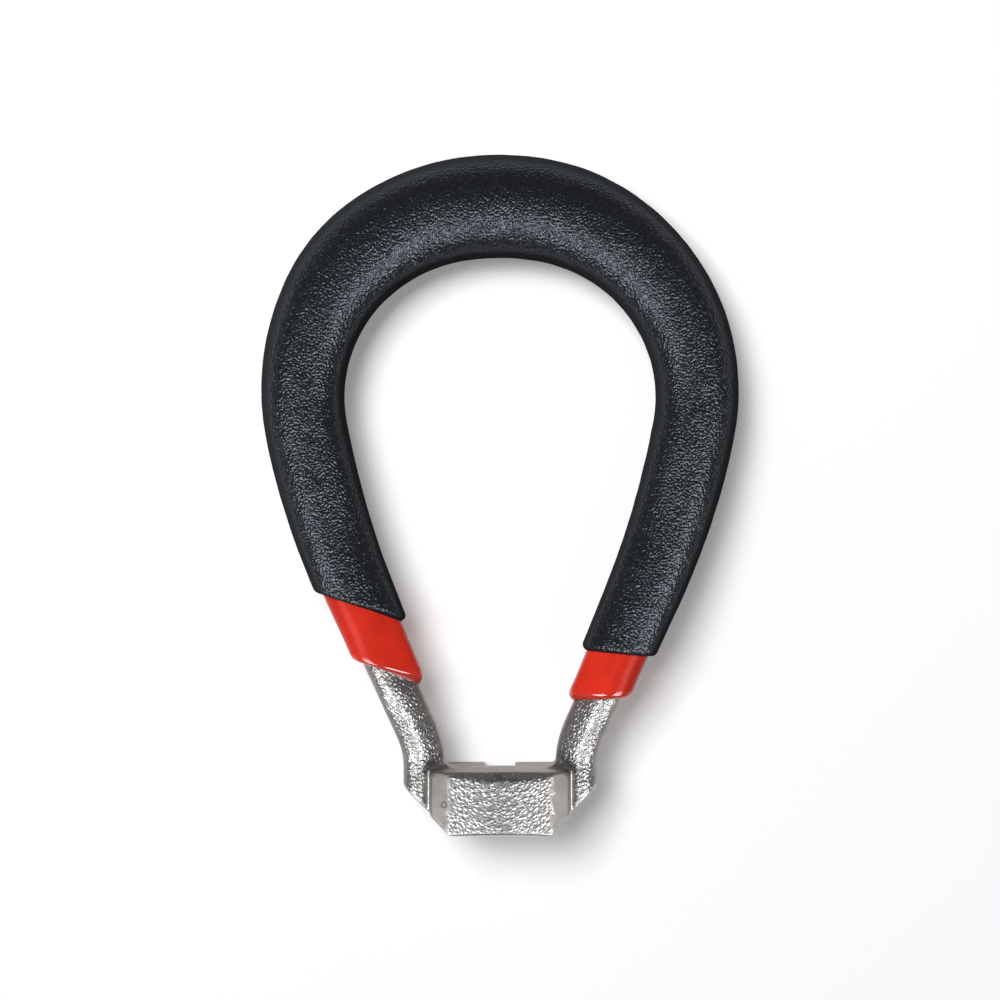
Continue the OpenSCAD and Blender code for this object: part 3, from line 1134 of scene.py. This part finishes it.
class SPOKEWRENCH_OT_casting(bpy.types.Operator):
    """Build the steel casting: the bar, both legs and the head with its slot"""

    bl_idname = "spoke_wrench.casting"
    bl_label = "Steel Casting"

    def execute(self, context):
        loop = Loop(context.scene)
        made = casting_shape(loop)
        made.data.transform(FROM_BENCH)
        refine_front(made, loop)
        steel_relief(made, loop)
        made.data.transform(TO_BENCH)
        combine(made, bench_object("covered_bar", covered_bar(loop)), "UNION", "MANIFOLD")
        made.data.transform(FROM_BENCH)
        made.name = made.data.name = "steel_casting"
        finish_piece(made, "wrench_body", cast_nickel())
        return {"FINISHED"}


def lip(thickness):
    """The rounded end of a dip: how far each ring is from the end, and how high it stands."""
    tuck, run_share, fullness = -0.25, 0.9, 0.8
    turn = np.linspace(tuck, math.pi / 2, LIP_ROWS)
    gap = run_share * thickness * (1 - np.cos(turn))
    rise = thickness * np.sign(turn) * np.abs(np.sin(turn)) ** fullness
    return gap, rise


def dip_rows(loop, ends, under, thickness, spacing, ring, bead_share=0.0):
    """The skin of a dip with its two rounded ends, its back against what it covers, and how
    far each ring of the skin is from an end."""
    bead_run = 0.0016
    left, right = ends
    angles = even_angles(*ring)
    gap, rise = lip(thickness)
    count = int((left + right) / spacing)
    body = np.linspace(-left + gap[-1], right - gap[-1], count)[1:-1]
    stations = np.concatenate([-left + gap, body, (right - gap)[::-1]])
    distance = np.minimum(stations + left, right - stations)
    rises = np.concatenate([rise, np.full(len(body), thickness), rise[::-1]])
    bead = ease(distance / thickness) * np.exp(-((distance / bead_run) ** 2))
    rises += bead_share * thickness * bead
    outside = loop.skin(stations, under + rises, angles)
    back = np.linspace(right - gap[0], -left + gap[0], BACK_ROWS)
    inside = loop.skin(back, np.full(len(back), under + rise[0]), angles)
    return outside, inside, distance


def push(rows, heights):
    """Moves an open skin of rings outwards along its normals."""
    along = np.gradient(rows, axis=0)
    around = np.roll(rows, -1, axis=1) - np.roll(rows, 1, axis=1)
    normals = np.cross(around, along)
    normals = normals / np.linalg.norm(normals, axis=-1, keepdims=True)
    return rows + normals * heights[..., None]


def noise_over(rows, size, seed):
    """Smooth noise for each point of an open skin."""
    flat = rows.reshape(-1, 3) / size + seed
    return sampled_noise(flat).reshape(rows.shape[:2])


def dip_object(name, outside, inside):
    """A dip as one closed piece, from its skin and its back."""
    return new_object(name, tube_mesh(name, np.concatenate([outside, inside])))


class SPOKEWRENCH_OT_first_dip(bpy.types.Operator):
    """Build the first dip of vinyl, which shows as a band at each end of the second"""

    bl_idname = "spoke_wrench.first_dip"
    bl_label = "First Dip"

    def execute(self, context):
        spacing, bead_share, bead_width, bead_reach = 0.0005, 0.1, 0.0006, 1.9
        wave_height, wave_size, wave_seed, sunk_share = 0.00002, 0.004, 3.1, 0.6
        loop = Loop(context.scene)
        ends = [loop.first_end(side) for side in SIDES]
        thickness = loop.dips.first_thickness
        outside, inside, distance = dip_rows(
            loop, ends, 0, thickness, spacing, FIRST_RING, bead_share
        )
        waves = noise_over(outside, wave_size, wave_seed) - sunk_share
        made = dip_object("first_dip", push(outside, wave_height * waves), inside)
        glossy = near(distance, bead_width, bead_reach)
        beads = np.concatenate([glossy, np.zeros(len(inside))])
        write_attribute(made.data, "bead", np.repeat(beads, outside.shape[1]))
        finish_piece(made, "base_coat", glossy_vinyl())
        return {"FINISHED"}


class SPOKEWRENCH_OT_second_dip(bpy.types.Operator):
    """Build the second dip of vinyl, with its grain"""

    bl_idname = "spoke_wrench.second_dip"
    bl_label = "Second Dip"

    def execute(self, context):
        spacing, sunk_share, broad_share = 0.00024, 1.4, 0.6
        lump_size, lump_seed = 0.0016, 1.7
        broad_size, broad_seed = 0.0045, 8.2
        loop = Loop(context.scene)
        dips = loop.dips
        ends = [loop.second_end(side) for side in SIDES]
        outside, inside, _ = dip_rows(
            loop, ends, dips.first_thickness, dips.second_thickness, spacing, SECOND_RING
        )
        broad = broad_share * noise_over(outside, broad_size, broad_seed)
        lumps = noise_over(outside, lump_size, lump_seed) + broad
        skin = push(outside, dips.lump_height * (lumps - sunk_share))
        made = dip_object("second_dip", skin, inside)
        finish_piece(made, "over_coat", grained_vinyl())
        return {"FINISHED"}


def seeing_rays(tree):
    """Whether a ray comes from the camera, from a reflection or through glass."""
    rays = {ray.socket.name: ray for ray in tree.node("ShaderNodeLightPath")}
    return [rays[name] for name in ("Is Camera Ray", "Is Glossy Ray", "Is Transmission Ray")]


def floor_and_backdrop(stage):
    """A white floor that keeps the wrench's shadow."""
    material, tree = new_material("white_floor")
    camera, glossy, through = seeing_rays(tree)
    seen = camera.at_least(glossy).at_least(through)
    floor = tree.shader(
        base_color=(*grey(stage.floor_white), 1),
        roughness=1.0,
        specular_ior_level=0.0,
        emission_color=tree.blend(seen, grey(0), grey(stage.floor_glow)),
        emission_strength=1.0,
    )
    tree.finish(floor)
    block = bmesh.new()
    bmesh.ops.create_grid(block, x_segments=8, y_segments=8, size=stage.floor_width / 2)
    mesh = bpy.data.meshes.new("floor")
    block.to_mesh(mesh)
    block.free()
    mesh.materials.append(material)
    new_object("floor", mesh)


def world_light(scene, stage):
    """A white backdrop. Reflections see a studio with grey walls and a dark ceiling in its
    place, and a little light falls on the wrench from all round."""
    wall_top, ceiling_start = 0.2, 0.7
    scene.world = bpy.data.worlds.new("studio")
    tree = Tree(scene.world)
    camera, glossy, through = seeing_rays(tree)
    direction, *_ = tree.node("ShaderNodeTexCoord")
    _, _, height = tree.node("ShaderNodeSeparateXYZ", None, {"Vector": direction})
    upwards = height.between(wall_top, ceiling_start)
    studio = tree.blend(upwards, grey(stage.walls), grey(stage.ceiling))
    light = tree.blend(glossy, grey(stage.ambient), studio)
    sky = tree.blend(camera.at_least(through), light, grey(1))
    glow = tree.node("ShaderNodeBackground", None, {"Color": sky, "Strength": 1.0})[0]
    tree.node("ShaderNodeOutputWorld", None, {"Surface": glow})


def area_lamp(name, place, width, energy):
    """A square lamp that looks at the middle of the wrench."""
    data = bpy.data.lights.new(name, "AREA")
    data.size = width
    data.energy = energy
    lamp = new_object(name, data)
    lamp.location = place
    lamp.rotation_euler = (-Vector(place)).to_track_quat("-Z", "Y").to_euler()
    lamp.visible_camera = False
    return lamp


def photo_camera(scene, stage):
    """A camera square to the loop, as the photograph shows it."""
    data = bpy.data.cameras.new("camera")
    data.sensor_width = SENSOR_WIDTH
    data.lens = SENSOR_WIDTH * stage.camera_distance / stage.view_width
    data.clip_start = 0.01
    data.clip_end = 10
    scene.camera = new_object("camera", data)
    place = Matrix.Translation((0, stage.aim_height, stage.camera_distance))
    scene.camera.matrix_world = laid_down() @ place


class SPOKEWRENCH_OT_stage(bpy.types.Operator):
    """Set up the floor, the light and the camera"""

    bl_idname = "spoke_wrench.stage"
    bl_label = "Stage"

    def execute(self, context):
        scene = context.scene
        stage = scene.stage_sizes
        scene.view_settings.view_transform = "Standard"
        floor_and_backdrop(stage)
        world_light(scene, stage)
        photo_camera(scene, stage)
        key = area_lamp("key_lamp", stage.key_place, stage.key_width, stage.key_power)
        key.visible_glossy = False
        x, y, z = stage.gloss_place
        for side in SIDES:
            place = (side * x, y, z)
            gloss = area_lamp("gloss_lamp", place, stage.gloss_width, stage.gloss_power)
            gloss.visible_diffuse = False
        return {"FINISHED"}


class SPOKEWRENCH_PT_panel(bpy.types.Panel):
    """Lists the pieces of the wrench and their sizes"""

    bl_idname = "SPOKEWRENCH_PT_panel"
    bl_label = "Spoke Wrench"
    bl_space_type = "VIEW_3D"
    bl_region_type = "UI"
    bl_category = "Spoke Wrench"

    def draw(self, context):
        for operator, groups in STEPS.items():
            box = self.layout.box()
            box.operator(operator.bl_idname)
            for group in groups:
                sizes = getattr(context.scene, group)
                for name in type(sizes).__annotations__:
                    box.prop(sizes, name)


GROUPS = {
    "loop_sizes": LoopSizes,
    "head_sizes": HeadSizes,
    "dip_sizes": DipSizes,
    "stage_sizes": StageSizes,
}
STEPS = {
    SPOKEWRENCH_OT_casting: ("loop_sizes", "head_sizes"),
    SPOKEWRENCH_OT_first_dip: (),
    SPOKEWRENCH_OT_second_dip: ("dip_sizes",),
    SPOKEWRENCH_OT_stage: ("stage_sizes",),
}
CLASSES = [*GROUPS.values(), *STEPS, SPOKEWRENCH_PT_panel]


def register():
    for made in CLASSES:
        bpy.utils.register_class(made)
    for name, group in GROUPS.items():
        setattr(bpy.types.Scene, name, PointerProperty(type=group))


def unregister():
    for name in GROUPS:
        delattr(bpy.types.Scene, name)
    for made in reversed(CLASSES):
        bpy.utils.unregister_class(made)


def main():
    register()
    bpy.ops.spoke_wrench.casting()
    bpy.ops.spoke_wrench.first_dip()
    bpy.ops.spoke_wrench.second_dip()
    bpy.ops.spoke_wrench.stage()


if __name__ == "__main__":
    main()
